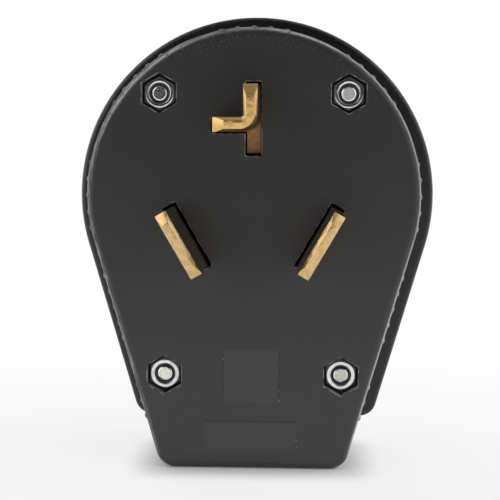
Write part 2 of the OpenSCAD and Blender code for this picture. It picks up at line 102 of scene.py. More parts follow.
def chain(tree, operation, first, *others):
    """Several values joined one after the other by the same Math operation."""
    for value in others:
        first = calc(tree, operation, first, value)
    return first


def vector_calc(tree, operation, *values):
    """One Vector Math node, and its vector."""
    return put(tree, "ShaderNodeVectorMath", dict(enumerate(values)), operation=operation).outputs[0]


def away_from(tree, place, spot):
    """How far a place is from a spot."""
    return put(tree, "ShaderNodeVectorMath", {0: place, 1: spot}, operation="DISTANCE").outputs["Value"]


def ramp(tree, value, start, end):
    """0 at start, 1 at end, and even between them."""
    feeds = {"Value": value, "From Min": start, "From Max": end}
    return put(tree, "ShaderNodeMapRange", feeds).outputs[0]


def fade(tree, value, start, end, first=1.0, last=0.0):
    """A smooth change from a first value at start to a last one at end."""
    feeds = {"Value": value, "From Min": start, "From Max": end, "To Min": first, "To Max": last}
    return put(tree, "ShaderNodeMapRange", feeds, interpolation_type="SMOOTHSTEP").outputs[0]


def clouds(tree, place, scale, detail, roughness=0.5):
    """Noise at a place, about one half on average."""
    feeds = {"Vector": place, "Scale": scale, "Detail": detail, "Roughness": roughness}
    return put(tree, "ShaderNodeTexNoise", feeds).outputs[0]


def grey(level):
    """A neutral colour."""
    return (level, level, level)


def blend_colours(tree, share, first, second):
    """A colour between two, by a mask."""
    node = put(tree, "ShaderNodeMix", {0: share}, data_type="RGBA")
    for socket, colour in ((node.inputs[6], first), (node.inputs[7], second)):
        if isinstance(colour, bpy.types.NodeSocket):
            tree.links.new(colour, socket)
        else:
            socket.default_value = (*colour, 1.0)
    return node.outputs[2]


def effect(name, inputs, outputs):
    """An empty shader node group with a vector, named inputs and named outputs."""
    tree = bpy.data.node_groups.new(name, "ShaderNodeTree")
    tree.interface.new_socket("Vector", in_out="INPUT", socket_type="NodeSocketVector")
    for label, value in inputs.items():
        socket = tree.interface.new_socket(label, in_out="INPUT", socket_type="NodeSocketFloat")
        socket.default_value = value
    for label in outputs:
        tree.interface.new_socket(label, in_out="OUTPUT", socket_type="NodeSocketFloat")
    return tree, tree.nodes.new("NodeGroupInput").outputs, tree.nodes.new("NodeGroupOutput").inputs


def use_effect(tree, group, place, **values):
    """Sets a node group to work at a place in a material, and gives its outputs."""
    feeds = {"Vector": place}
    for name, value in values.items():
        feeds[name.replace("_", " ").title()] = value
    return put(tree, "ShaderNodeGroup", feeds, node_tree=group).outputs


def finish_start(name, metallic=0.0):
    """A new material: its tree, its shader and the place on the piece in millimetres."""
    material = bpy.data.materials.new(name)
    material.use_nodes = True
    tree = material.node_tree
    shader = tree.nodes["Principled BSDF"]
    shader.inputs["Metallic"].default_value = metallic
    place = tree.nodes.new("ShaderNodeTexCoord").outputs["Object"]
    return material, tree, shader, vector_calc(tree, "DIVIDE", place, (mm, mm, mm))


def dress(tree, shader, colour, roughness, height=None, strength=1.0, depth=1 * mm):
    """Feeds a shader its colour and roughness, and a bump of some depth where a height is given."""
    tree.links.new(colour, shader.inputs["Base Color"])
    tree.links.new(roughness, shader.inputs["Roughness"])
    if height is not None:
        bump = put(tree, "ShaderNodeBump", {"Strength": strength, "Distance": depth, "Height": height})
        tree.links.new(bump.outputs[0], shader.inputs["Normal"])


grain, given, out = effect("moulded_grain", {"Fineness": 4.0, "Waviness": 0.06}, ["Height", "Mottle"])
fine = clouds(grain, given["Vector"], given["Fineness"], 3.0)
wave = clouds(grain, given["Vector"], given["Waviness"], 2.0)
grain.links.new(calc(grain, "MULTIPLY_ADD", wave, 0.4, fine), out["Height"])
grain.links.new(wave, out["Mottle"])

specks, given, out = effect("dust_specks", {"Spacing": 1.0, "Size": 0.12, "Share": 0.3}, ["Mask"])
cells = put(specks, "ShaderNodeTexVoronoi", {"Vector": given["Vector"], "Scale": given["Spacing"]})
chosen = put(specks, "ShaderNodeSeparateColor", {0: cells.outputs["Color"]})
small = calc(specks, "MULTIPLY", given["Size"], chosen.outputs["Green"])
dot = calc(specks, "LESS_THAN", cells.outputs["Distance"], small)
kept = calc(specks, "LESS_THAN", chosen.outputs["Red"], given["Share"])
specks.links.new(calc(specks, "MULTIPLY", dot, kept), out["Mask"])

face_reach = {"Radius": face_r / mm, "Drop": tail_drop / mm}
edge_gap, given, out = effect("edge_distance", face_reach, ["Distance"])
part = put(edge_gap, "ShaderNodeSeparateXYZ", {0: given["Vector"]})
across = calc(edge_gap, "ABSOLUTE", part.outputs["X"])
up = part.outputs["Z"]
rise, lean = math.cos(side_taper), math.sin(side_taper)
above = calc(edge_gap, "MULTIPLY_ADD", across, lean, calc(edge_gap, "MULTIPLY", up, rise))
on_round = calc(edge_gap, "GREATER_THAN", above, 0.0)
squares = calc(edge_gap, "MULTIPLY_ADD", across, across, calc(edge_gap, "MULTIPLY", up, up))
from_middle = calc(edge_gap, "SQRT", squares)
from_side = calc(edge_gap, "MULTIPLY_ADD", across, rise, calc(edge_gap, "MULTIPLY", up, -lean))
longer = calc(edge_gap, "SUBTRACT", from_middle, from_side)
reach = calc(edge_gap, "MULTIPLY_ADD", longer, on_round, from_side)
to_wall = calc(edge_gap, "SUBTRACT", given["Radius"], reach)
to_foot = calc(edge_gap, "ADD", up, given["Drop"])
edge_gap.links.new(calc(edge_gap, "SMOOTH_MIN", to_wall, to_foot, 1.0), out["Distance"])

panel_size = {"X": 0.0, "Z": 0.0, "Half X": 1.0, "Half Z": 1.0}
panel, given, out = effect("panel_distance", panel_size, ["X", "Z"])
part = put(panel, "ShaderNodeSeparateXYZ", {0: given["Vector"]}).outputs
for axis in "XZ":
    off = calc(panel, "ABSOLUTE", calc(panel, "SUBTRACT", part[axis], given[axis]))
    panel.links.new(calc(panel, "SUBTRACT", off, given["Half " + axis]), out[axis])


def panel_sides(tree, gaps, across, along, width):
    """Thin lines on two opposite sides of a panel."""
    line = fade(tree, calc(tree, "ABSOLUTE", gaps[across]), 0.05, width)
    return calc(tree, "MULTIPLY", line, fade(tree, gaps[along], -0.2, 0.2))


housing, tree, shader, place = finish_start("housing_plastic")
skin = use_effect(tree, grain, place, fineness=5.0, waviness=0.05)
axes = put(tree, "ShaderNodeSeparateXYZ", {0: place}).outputs
inset = use_effect(tree, edge_gap, place)["Distance"]
on_face = fade(tree, axes["Y"], 0.05, 0.3)
leftward = ramp(tree, axes["X"], 30.0, -30.0)
torn = clouds(tree, place, 0.9, 5.0, 0.65)
streak = clouds(tree, place, 2.2, 3.0)

# The scuffed flash is widest on the left and where the edge was knocked. Its pale colour is partly real
# flash and partly a painted highlight of the rounded edge, paler on the left.
knock_spot, glint_spot = (-28.0, 0.0, 28.0), (12.0, 0.0, 38.0)
knock = fade(tree, away_from(tree, place, knock_spot), 6.0, 26.0)
ragged = calc(tree, "ADD", inset, 0.6)
for mask, widening in ((streak, 0.7), (torn, 0.5), (leftward, 0.45), (knock, 0.35)):
    ragged = calc(tree, "MULTIPLY_ADD", mask, -widening, ragged)
near_face = fade(tree, axes["Y"], 1.0, 3.2)
above_foot = ramp(tree, axes["Z"], -64.0, -58.0)
flash_and_sheen = chain(tree, "MULTIPLY", fade(tree, ragged, -0.1, 1.0), near_face, above_foot)

# A painted highlight line lies in the flash, broken in places, strongest on the right, at the knock and
# near the top.
low_right = fade(tree, calc(tree, "MULTIPLY_ADD", leftward, 80.0, axes["Z"]), -30.0, 10.0)
near_top = fade(tree, away_from(tree, place, glint_spot), 6.0, 15.0)
rightward = calc(tree, "MULTIPLY_ADD", leftward, -0.6, 0.6)
highlight_places = chain(tree, "MAXIMUM", knock, low_right, near_top, rightward)
off_line = calc(tree, "SUBTRACT", inset, calc(tree, "MULTIPLY_ADD", leftward, 0.75, 0.2))
on_line = fade(tree, calc(tree, "ABSOLUTE", off_line), 0.1, 0.45)
unbroken = calc(tree, "MAXIMUM", fade(tree, torn, 0.5, 0.68), calc(tree, "MULTIPLY", low_right, 0.7))
painted_highlight_line = chain(tree, "MULTIPLY", highlight_places, on_line, unbroken)

# Two bare panels low on the face have faint outlines.
square = use_effect(tree, panel, place, x=-0.3, z=-43.5, half_x=6.8, half_z=6.7)
bar = use_effect(tree, panel, place, x=-0.5, z=-58.2, half_x=11.2, half_z=3.55)
to_square = calc(tree, "MAXIMUM", square["X"], square["Z"])
to_bar = calc(tree, "MAXIMUM", bar["X"], bar["Z"])
field = calc(tree, "MULTIPLY", fade(tree, calc(tree, "MINIMUM", to_square, to_bar), -0.8, 0.2), on_face)
uprights = panel_sides(tree, square, "X", "Z", 0.25)
ends = panel_sides(tree, bar, "X", "Z", 0.3)
upper_half = calc(tree, "GREATER_THAN", axes["Z"], -58.0)
top_line = calc(tree, "MULTIPLY", panel_sides(tree, bar, "Z", "X", 0.3), upper_half)
line = calc(tree, "MAXIMUM", uprights, top_line)
line = chain(tree, "MULTIPLY", line, fade(tree, torn, 0.44, 0.62), on_face, 0.8)
dots = use_effect(tree, specks, place, spacing=1.1, size=0.5, share=0.6)["Mask"]
dots = chain(tree, "MULTIPLY", dots, calc(tree, "MAXIMUM", ends, uprights), on_face)

# Dust stays by the upper pockets and the top edge.
high = ramp(tree, axes["Z"], 8.0, 36.0)
dust = use_effect(tree, specks, place, spacing=3.4, size=0.42, share=0.35)["Mask"]
upper_pocket = (upper_screw[0] / mm, 0.0, upper_screw[1] / mm)
from_pocket = away_from(tree, vector_calc(tree, "ABSOLUTE", place), upper_pocket)
near = calc(tree, "MAXIMUM", fade(tree, from_pocket, 4.6, 7.0), fade(tree, inset, 2.0, 6.0))
dust = chain(tree, "MULTIPLY", dust, on_face, high, near)

# The face is painted paler towards the foot, a painted reflection of the floor, and the flash with its
# painted highlight is drawn in fine lines along the edge.
painted_floor_reflection = fade(tree, axes["Z"], -60.0, 5.0)
dusty = calc(tree, "MAXIMUM", dust, dots)
colour = blend_colours(tree, skin["Mottle"], grey(0.025), grey(0.030))
for mask, level in ((painted_floor_reflection, 0.044), (field, 0.057), (line, 0.008), (dusty, 0.16)):
    colour = blend_colours(tree, mask, colour, grey(level))
about = calc(tree, "MULTIPLY", calc(tree, "ARCTAN2", axes["X"], axes["Z"]), 9.0)
inward = calc(tree, "MULTIPLY", inset, 2.4)
drawn = put(tree, "ShaderNodeCombineXYZ", {"X": inward, "Y": about}).outputs[0]
lines = fade(tree, clouds(tree, drawn, 1.0, 3.0), 0.40, 0.60)
# The pale flash colour is partly a painted highlight, paler on the left.
pale = blend_colours(tree, leftward, grey(0.22), grey(0.32))
pale = blend_colours(tree, lines, pale, grey(0.06))
pale = blend_colours(tree, painted_highlight_line, pale, grey(0.55))
colour = blend_colours(tree, flash_and_sheen, colour, pale)
gloss = calc(tree, "MULTIPLY_ADD", skin["Mottle"], 0.10, 0.34)
roughness = calc(tree, "MULTIPLY_ADD", flash_and_sheen, 0.2, gloss)
surface = calc(tree, "MULTIPLY_ADD", flash_and_sheen, streak, calc(tree, "MULTIPLY", skin["Height"], 0.06))
surface = calc(tree, "MULTIPLY_ADD", field, 0.1, surface)
dress(tree, shader, colour, roughness, surface, 0.35, 0.4 * mm)

# The chamfers round the mouths are painted pale, a painted highlight on their edges.
mouth_highlight, tree, shader, place = finish_start("worn_mouth_edge")
skin = use_effect(tree, grain, place, fineness=3.0, waviness=0.6)
colour = blend_colours(tree, fade(tree, skin["Mottle"], 0.42, 0.58), grey(0.04), grey(0.28))
roughness = calc(tree, "MULTIPLY_ADD", skin["Mottle"], 0.2, 0.3)
dress(tree, shader, colour, roughness, skin["Height"], 0.4, 0.2 * mm)

# The pocket walls are painted much paler than the body, painted light in the shaded pockets.
lit_pocket_wall, tree, shader, place = finish_start("dusty_pocket_wall")
skin = use_effect(tree, grain, place, fineness=2.5, waviness=0.7)
colour = blend_colours(tree, skin["Mottle"], grey(0.10), grey(0.24))
roughness = calc(tree, "MULTIPLY_ADD", skin["Mottle"], 0.2, 0.5)
dress(tree, shader, colour, roughness, skin["Height"], 0.3, 0.2 * mm)


def outline(r, drop, corner, low=0.0):
    """The keyhole outline, seen from the front and anticlockwise: points and outward normals."""
    lift = drop - corner
    cx = (r - corner - lift * math.sin(side_taper)) / math.cos(side_taper)
    right = []
    for i in range(41):
        turn = -math.pi / 2 + (math.pi / 2 - side_taper) * i / 40
        right.append((cx + corner * math.cos(turn), -lift + corner * math.sin(turn), turn))
    start = Vector(right[-1][:2])
    end = Vector((r * math.cos(side_taper), -r * math.sin(side_taper)))
    for i in range(1, 120):
        spot = start.lerp(end, i / 120)
        right.append((spot.x, spot.y, -side_taper))
    for i in range(241):
        turn = -side_taper + (math.pi / 2 + side_taper) * i / 240
        right.append((r * math.cos(turn), r * math.sin(turn), turn))
    left = [(-x, z, math.pi - turn) for x, z, turn in reversed(right[:-1])]
    foot = [(cx * (i / 40 - 1), -drop, -math.pi / 2) for i in range(1, 80)]
    line = []
    for x, z, turn in right + left + foot:
        line.append((Vector((x, 0, z - low)), Vector((math.cos(turn), 0, math.sin(turn)))))
    return line


def ring(line, inset, depth):
    """The outline drawn in by an inset, at one depth behind the face."""
    return [spot - side * inset + Vector((0, depth, 0)) for spot, side in line]


def rounded_front(line, r, depth, steps):
    """Rings of a rounded edge that opens to the full outline, or of a fillet if r is negative."""
    turns = [math.radians(90 / steps * i) for i in range(steps + 1)]
    return [ring(line, r * (1 - math.sin(a)), depth + abs(r) * (1 - math.cos(a))) for a in turns]


def from_bmesh(bm, name, materials):
    """Turns a bmesh into a piece with outward faces."""
    bmesh.ops.recalc_face_normals(bm, faces=bm.faces)
    mesh = bpy.data.meshes.new(name)
    bm.to_mesh(mesh)
    bm.free()
    for material in materials:
        mesh.materials.append(material)
    piece = bpy.data.objects.new(name, mesh)
    bpy.context.scene.collection.objects.link(piece)
    return piece


def tube(bm, rows):
    """Joins rows of corners to a capped tube, and gives its side faces row by row."""
    count = len(rows[0])
    sides = []
    for near, far in zip(rows, rows[1:]):
        pairs = [(i, (i + 1) % count) for i in range(count)]
        sides.append([bm.faces.new((near[i], near[j], far[j], far[i])) for i, j in pairs])
    bm.faces.new(rows[0])
    bm.faces.new(list(reversed(rows[-1])))
    return sides


def loft(rings, name, materials):
    """A closed piece through rings of equal count."""
    bm = bmesh.new()
    tube(bm, [[bm.verts.new(spot) for spot in row] for row in rings])
    return from_bmesh(bm, name, materials)


def settle(piece):
    """Turns a piece's modifiers into its plain mesh."""
    shown = piece.evaluated_get(bpy.context.evaluated_depsgraph_get())
    mesh = bpy.data.meshes.new_from_object(shown)
    mesh.name = piece.name
    piece.modifiers.clear()
    piece.data = mesh


def carve(piece, tool, how="DIFFERENCE"):
    """Cuts a tool out of a piece, or joins it on."""
    step = piece.modifiers.new("carve", "BOOLEAN")
    step.operation, step.solver, step.material_mode, step.object = how, "EXACT", "TRANSFER", tool
    settle(piece)
    bpy.data.objects.remove(tool)


def smooth(piece, degrees=30):
    """Smooth shading with crisp edges."""
    piece.data.shade_smooth()
    piece.data.set_sharp_from_angle(angle=math.radians(degrees))


def oblong(half_x, half_z, corner, turn, middle):
    """A rounded rectangle that can grow: gives its points for any growth."""
    def drawn(grow):
        spots = []
        for sx, sz, first in ((1, 1, 0), (-1, 1, 90), (-1, -1, 180), (1, -1, 270)):
            for i in range(5):
                a = math.radians(first + 22.5 * i)
                x = sx * (half_x - corner) + (corner + grow) * math.cos(a)
                z = sz * (half_z - corner) + (corner + grow) * math.sin(a)
                spots.append((x * math.cos(turn) - z * math.sin(turn) + middle[0],
                              x * math.sin(turn) + z * math.cos(turn) + middle[1]))
        return spots
    return drawn


def hexagon(across_flats, middle):
    """A hexagon that can grow, with corners at its top and bottom."""
    def drawn(grow):
        r = (across_flats / 2 + grow) / math.cos(math.radians(30))
        turns = [math.radians(30 + 60 * i) for i in range(6)]
        return [(middle[0] + r * math.cos(a), middle[1] + r * math.sin(a)) for a in turns]
    return drawn


def round_shape(r, middle, count=48):
    """A circle that can grow."""
    def drawn(grow):
        turns = [2 * math.pi * i / count for i in range(count)]
        reach = r + grow
        return [(middle[0] + reach * math.cos(a), middle[1] + reach * math.sin(a)) for a in turns]
    return drawn


def prisms(name, shapes, near, far, chamfer=0.0, wall=0):
    """Straight prisms from one depth to another, their walls in one of the body's materials.
    With a chamfer they start at the face and flare there, in the material of the painted mouth highlight."""
    bm = bmesh.new()
    for shape in shapes:
        stops = [(0.0, near), (0.0, far)]
        if chamfer:
            over = 0.2 * mm
            stops = [(chamfer + over, -over), (0.0, chamfer), (0.0, far)]
        rows = [[bm.verts.new((x, depth, z)) for x, z in shape(grow)] for grow, depth in stops]
        for level, sides in enumerate(tube(bm, rows)):
            for side in sides:
                side.material_index = 1 if chamfer and level == 0 else wall
    return from_bmesh(bm, name, [housing, mouth_highlight, lit_pocket_wall])


def upright_rod(name, r, depth, low, high, count=64):
    """A rod along Z at one depth, for cord channels."""
    turns = [2 * math.pi * i / count for i in range(count)]
    rows = [[Vector((r * math.cos(a), depth + r * math.sin(a), z)) for a in turns] for z in (low, high)]
    return loft(rows, name, [housing])


face_line = outline(face_r, tail_drop, tail_corner)
rings = [ring(face_line, edge_round + flat_margin, 0)]
rings += rounded_front(face_line, edge_round, 0, 10)
rings.append(ring(face_line, 0, edge_round + flat_margin))
rings.append(ring(face_line, 0, body_depth - flat_margin))
rings.append(ring(face_line, joint_round, body_depth))
flash_rings = rings[7:11]
for row in flash_rings:
    for spot in row:
        wobble = noise.noise(spot * flash_coarse) + 0.6 * noise.noise(spot * flash_fine)
        spot += Vector((spot.x, 0, spot.z)).normalized() * wobble * flash_wobble
body = loft(rings, "front_body_shell", [housing, mouth_highlight, lit_pocket_wall])
hollow_line = outline(face_r - wall_t, tail_drop - foot_h, hollow_corner)
hollow_ends = [ring(hollow_line, 0, face_t), ring(hollow_line, 0, body_depth + overcut)]
carve(body, loft(hollow_ends, "hollow", [housing]))
bosses = [round_shape(boss_r, spot) for spot in screw_spots]
carve(body, prisms("bosses", bosses, face_t - overlap, body_depth), "UNION")
barriers = []
slots = []
for side in (-1, 1):
    spot = (side * barrier_x, -barrier_below)
    barriers.append(oblong(barrier_t / 2, barrier_l / 2, barrier_corner, 0, spot))
    spot = (side * hot_x, -hot_below)
    slots.append(oblong(slot_t / 2, slot_l / 2, slot_corner, side * -hot_slant, spot))
slots.append(oblong(slot_t / 2, slot_l / 2, slot_corner, 0, (0, neutral_up)))
carve(body, prisms("barriers", barriers, face_t - overlap, barrier_back), "UNION")
carve(body, prisms("slots", slots, 0, face_t + overcut, mouth_chamfer))
pockets = [hexagon(pocket_af, spot) for spot in screw_spots]
carve(body, prisms("pockets", pockets, 0, pocket_depth, mouth_chamfer, 2))
arm_half, arm_mid = (slot_t / 2 - arm_slot_end) / 2, (slot_t / 2 + arm_slot_end) / 2
arm = oblong(arm_half, slot_t / 2, slot_corner, 0, (arm_mid, arm_up))
carve(body, prisms("arm_slot", [arm], 0, face_t + overcut, mouth_chamfer))
holes = [round_shape(hole_r, spot) for spot in screw_spots]
carve(body, prisms("screw_holes", holes, pocket_depth - overlap, body_depth + overcut))
inserts = [round_shape(insert_hole_r, spot, 32) for spot in strap_spots]
carve(body, prisms("insert_holes", inserts, insert_hole_front, body_depth + overcut))
channel_low, channel_high = -tail_drop - overcut, foot_h - tail_drop + overlap
carve(body, upright_rod("cord_channel", cord_r, body_depth, channel_low, channel_high))
smooth(body)
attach(body, "root")
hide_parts("front_body")

# Grip ribs
# Half-round ribs moulded on the wall for a firm grip. They come in groups of five, at every eighth of
# a turn on the round end and twice on each straight side, where the lower group has only three.
rib_pitch, rib_r, rib_bulge = 3.95 * mm, 1 * mm, 0.35 * mm
group_turn = math.radians(45)
group_start, group_pitch = 16.7 * mm, 27.8 * mm
rib_run = 47 * mm


def lathe(stops, segments=32, shape=None):
    """A bmesh turned about the Y axis through the origin, from stops of radius and depth.
    The stops make a loop, or start and end on the axis."""
    bm = bmesh.new()
    rows = []
    for r, depth in stops:
        if r == 0:
            rows.append([bm.verts.new((0, depth, 0))])
            continue
        row = []
        for i in range(segments):
            a = 2 * math.pi * i / segments
            here = shape(r, a) if shape else r
            row.append(bm.verts.new((here * math.cos(a), depth, here * math.sin(a))))
        rows.append(row)
    pairs = list(zip(rows, rows[1:]))
    if stops[0][0] > 0:
        pairs.append((rows[-1], rows[0]))
    for near, far in pairs:
        for i in range(segments):
            j = (i + 1) % segments
            spots = [near[i % len(near)], near[j % len(near)], far[j % len(far)], far[i % len(far)]]
            bm.faces.new(list(dict.fromkeys(spots)))
    return bm


sets = bpy.data.node_groups.new("set_of_pieces", "GeometryNodeTree")
sets.is_modifier = True
sets.interface.new_socket("Geometry", in_out="INPUT", socket_type="NodeSocketGeometry")
piece_in = sets.interface.new_socket("Piece", in_out="INPUT", socket_type="NodeSocketObject")
spread_in = sets.interface.new_socket("Turn", in_out="INPUT", socket_type="NodeSocketFloat")
seed_in = sets.interface.new_socket("Seed", in_out="INPUT", socket_type="NodeSocketInt")
coat_in = sets.interface.new_socket("Finish", in_out="INPUT", socket_type="NodeSocketMaterial")
sets.interface.new_socket("Geometry", in_out="OUTPUT", socket_type="NodeSocketGeometry")
given = sets.nodes.new("NodeGroupInput").outputs
chance = put(sets, "FunctionNodeRandomValue", {"Seed": given["Seed"]}, data_type="FLOAT")
sets.links.new(given["Turn"], chance.inputs[3])
turned = put(sets, "ShaderNodeCombineXYZ", {"Y": chance.outputs[1]}).outputs[0]
shape = put(sets, "GeometryNodeObjectInfo", {"Object": given["Piece"]})
placed = put(
    sets, "GeometryNodeInstanceOnPoints",
    {"Points": given["Geometry"], "Instance": shape.outputs["Geometry"], "Rotation": turned},
)
real = put(sets, "GeometryNodeRealizeInstances", {"Geometry": placed.outputs[0]})
dressed = put(sets, "GeometryNodeSetMaterial", {"Geometry": real.outputs[0], "Material": given["Finish"]})
sets.links.new(dressed.outputs[0], sets.nodes.new("NodeGroupOutput").inputs[0])


def set_out(name, piece, spots, finish, turn=0.0, seed=1):
    """One piece set out at several spots on the face, each turned by chance."""
    mesh = bpy.data.meshes.new(name)
    mesh.from_pydata([(x, 0, z) for x, z in spots], [], [])
    group = bpy.data.objects.new(name, mesh)
    bpy.context.scene.collection.objects.link(group)
    step = group.modifiers.new("set_of_pieces", "NODES")
    step.node_group = sets
    step[piece_in.identifier] = piece
    step[spread_in.identifier] = turn
    step[seed_in.identifier] = seed
    step[coat_in.identifier] = finish
    settle(group)
    bpy.data.objects.remove(piece)
    smooth(group, 35)
    return group


rib_stops = [(0, 0.9), (0.4, 0.95), (0.75, 1.2), (0.93, 1.5), (1, 1.9), (1, 21.1), (0.8, 21.4), (0, 21.4)]
rib = from_bmesh(lathe([(r * rib_r, y * mm) for r, y in rib_stops], 36), "rib", [housing])
reach = face_r + rib_bulge - rib_r
rib_spots = []
for group in range(-2, 3):
    for i in range(-2, 3):
        turn = math.pi / 2 + group * group_turn + i * rib_pitch / face_r
        rib_spots.append((reach * math.cos(turn), reach * math.sin(turn)))
for group in range(2):
    for i in range(-2, 3):
        along = group_start + group * group_pitch + i * rib_pitch
        x = reach * math.cos(side_taper) - along * math.sin(side_taper)
        z = -reach * math.sin(side_taper) - along * math.cos(side_taper)
        if along < rib_run:
            rib_spots += [(x, z), (-x, z)]
ribs = set_out("grip_ribs", rib, rib_spots, housing)
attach(ribs, "root")

# Hot blades
# Two flat brass blades, sheared from strip and coined to bevelled tips. Each passes its slot and
# is bent to a foot behind the face, which is tapped for its terminal screw.
scratch, given, out = effect("tool_marks", {"Length": 0.08, "Fineness": 6.0}, ["Lines", "Patches"])
sides = {"X": given["Fineness"], "Y": given["Length"], "Z": given["Fineness"]}
stretch = put(scratch, "ShaderNodeCombineXYZ", sides).outputs[0]
drawn = vector_calc(scratch, "MULTIPLY", given["Vector"], stretch)
scratch.links.new(clouds(scratch, drawn, 1.0, 4.0), out["Lines"])
scratch.links.new(clouds(scratch, given["Vector"], 0.55, 5.0), out["Patches"])

brass, tree, shader, place = finish_start("rolled_brass", 1.0)
marks = use_effect(tree, scratch, place, length=0.1, fineness=5.0)
streaks = calc(tree, "MULTIPLY_ADD", marks["Patches"], 0.5, calc(tree, "MULTIPLY", marks["Lines"], 0.5))
colour = blend_colours(tree, fade(tree, streaks, 0.40, 0.60), (0.70, 0.54, 0.33), (0.58, 0.43, 0.25))
roughness = calc(tree, "MULTIPLY_ADD", marks["Lines"], 0.16, 0.10)
dress(tree, shader, colour, roughness, calc(tree, "MULTIPLY", marks["Lines"], 0.03))

coined, tree, shader, place = finish_start("coined_brass", 1.0)
marks = use_effect(tree, scratch, place, length=0.1, fineness=5.0)
height_z = put(tree, "ShaderNodeSeparateXYZ", {0: place}).outputs["Z"]
worn = fade(tree, marks["Patches"], 0.38, 0.62)
redder = calc(tree, "MULTIPLY", fade(tree, height_z, 16.0, 10.0), 0.5)
stained = fade(tree, clouds(tree, place, 2.4, 4.0), 0.26, 0.38)
colour = blend_colours(tree, worn, (0.74, 0.52, 0.25), (0.62, 0.42, 0.19))
colour = blend_colours(tree, redder, colour, (0.72, 0.43, 0.14))
colour = blend_colours(tree, stained, colour, (0.50, 0.31, 0.13))
roughness = calc(tree, "MULTIPLY_ADD", marks["Lines"], 0.10, 0.18)
waves = calc(tree, "MULTIPLY", clouds(tree, place, 0.6, 2.0), 0.12)
uneven = calc(tree, "MULTIPLY_ADD", height_z, 0.1, waves)
uneven = calc(tree, "MULTIPLY_ADD", marks["Lines"], 0.03, uneven)
dress(tree, shader, colour, roughness, uneven)


tip_start, tip_slope, merge_gap = -18 * mm, -0.25, 1e-7


def is_tip(face):
    """Whether a face belongs to the coined end of a blade."""
    return face.center.y < tip_start and face.normal.y < tip_slope


def rounded_copy(node, name, materials, width):
    """A merged copy of a solid with softly rounded edges."""
    bm = bmesh.new()
    bm.from_mesh(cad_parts[node].data)
    bmesh.ops.remove_doubles(bm, verts=bm.verts, dist=merge_gap)
    bmesh.ops.dissolve_limit(bm, angle_limit=math.radians(0.5), verts=bm.verts, edges=bm.edges)
    piece = from_bmesh(bm, name, materials)
    step = piece.modifiers.new("edges", "BEVEL")
    step.width, step.segments, step.limit_method, step.angle_limit = width, 2, "ANGLE", math.radians(25)
    step.use_clamp_overlap = True
    settle(piece)
    smooth(piece, 40)
    return piece


for node in ("hot_blade_left", "hot_blade_right"):
    blade = rounded_copy(node, node + "_brass", [brass, coined], 0.12 * mm)
    for face in blade.data.polygons:
        face.material_index = int(is_tip(face))
    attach(blade, "root")
    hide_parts(node)

# Neutral blade
# One brass strip bent to an L in front of the face. Its lower half is sheared off inside the slot,
# which leaves a rough brown stub behind the bend, its colour painted lighter as painted light in the
# slot.
stub_start, stub_slope = 2.7 * mm, -0.3
# The stub's colour is painted light, to make up for the shade inside the slot.
lightened_stub_brass, tree, shader, place = finish_start("sheared_brass", 0.05)
torn = clouds(tree, place, 2.2, 6.0, 0.7)
colour = blend_colours(tree, fade(tree, torn, 0.40, 0.62), (1.0, 0.60, 0.28), (0.75, 0.40, 0.16))
dress(tree, shader, colour, calc(tree, "MULTIPLY_ADD", torn, 0.3, 0.35), torn, 0.8, 0.5 * mm)

neutral = rounded_copy("neutral_blade", "neutral_blade_brass", [brass, coined, lightened_stub_brass], 0.15 * mm)
for face in neutral.data.polygons:
    face.material_index = int(is_tip(face))
    if face.center.y > stub_start and face.normal.y < stub_slope:
        face.material_index = 2
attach(neutral, "root")
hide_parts("neutral_blade")

# Wire terminals
# Plated steel clamp plates hold the stripped wires to the feet of the blades, inside the closed
# housing. The screws of the hot blades and the inserts of the cord clamp are turned from brass.
zinc, tree, shader, place = finish_start("zinc_plating", 1.0)
marks = use_effect(tree, scratch, place, length=1.5, fineness=3.0)
dull = fade(tree, marks["Patches"], 0.35, 0.65)
colour = blend_colours(tree, dull, (0.80, 0.81, 0.80), (0.64, 0.65, 0.64))
dress(tree, shader, colour, calc(tree, "MULTIPLY_ADD", dull, 0.12, 0.10), marks["Lines"], 0.08, 0.2 * mm)

for node, finish in (
    ("clamp_plate_left", zinc),
    ("clamp_plate_right", zinc),
    ("clamp_plate_neutral", zinc),
    ("hot_terminal_screws", brass),
    ("neutral_terminal_screw", zinc),
    ("cord_clamp_inserts", brass),
):
    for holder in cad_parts[node].material_slots:
        holder.material = finish

# Back cover
# A second black thermoset moulding closes the wiring space from behind, its plastic painted darker than
# the face's as a painted shade. Its wide rim shows round the face from the front, and its back has four
# sunk seats for the screw heads.
rim_low = 1 * mm
rim_r, rim_drop, rim_corner = 45.2 * mm, 57.3 * mm, 4.4 * mm
rim_depth, rim_step = 26 * mm, 2.5 * mm
back_r, back_drop, back_corner = rim_r - rim_step, rim_drop - rim_step, 8 * mm
back_depth, cover_floor, head_seat = 44 * mm, 41 * mm, 40.8 * mm
rim_front_round, rim_back_round, step_fillet, back_round = 1.2 * mm, 0.6 * mm, 0.8 * mm, 5 * mm
sink_r, notch_r, back_margin = 4.1 * mm, cord_r + 0.6 * mm, 0.5 * mm

# The cover's plastic is painted darker than the face's, a painted shade for the rim set back behind the
# body.
cover_plastic, tree, shader, place = finish_start("cover_plastic")
skin = use_effect(tree, grain, place, fineness=4.0, waviness=0.07)
lifted = vector_calc(tree, "ADD", place, (0.0, 0.0, rim_low / mm))
rim_gap = use_effect(tree, edge_gap, lifted, radius=rim_r / mm, drop=rim_drop / mm)["Distance"]
behind = put(tree, "ShaderNodeSeparateXYZ", {0: place}).outputs["Y"]
on_edge = calc(tree, "MULTIPLY", fade(tree, rim_gap, 0.1, 0.7), fade(tree, behind, 22.8, 24.0))
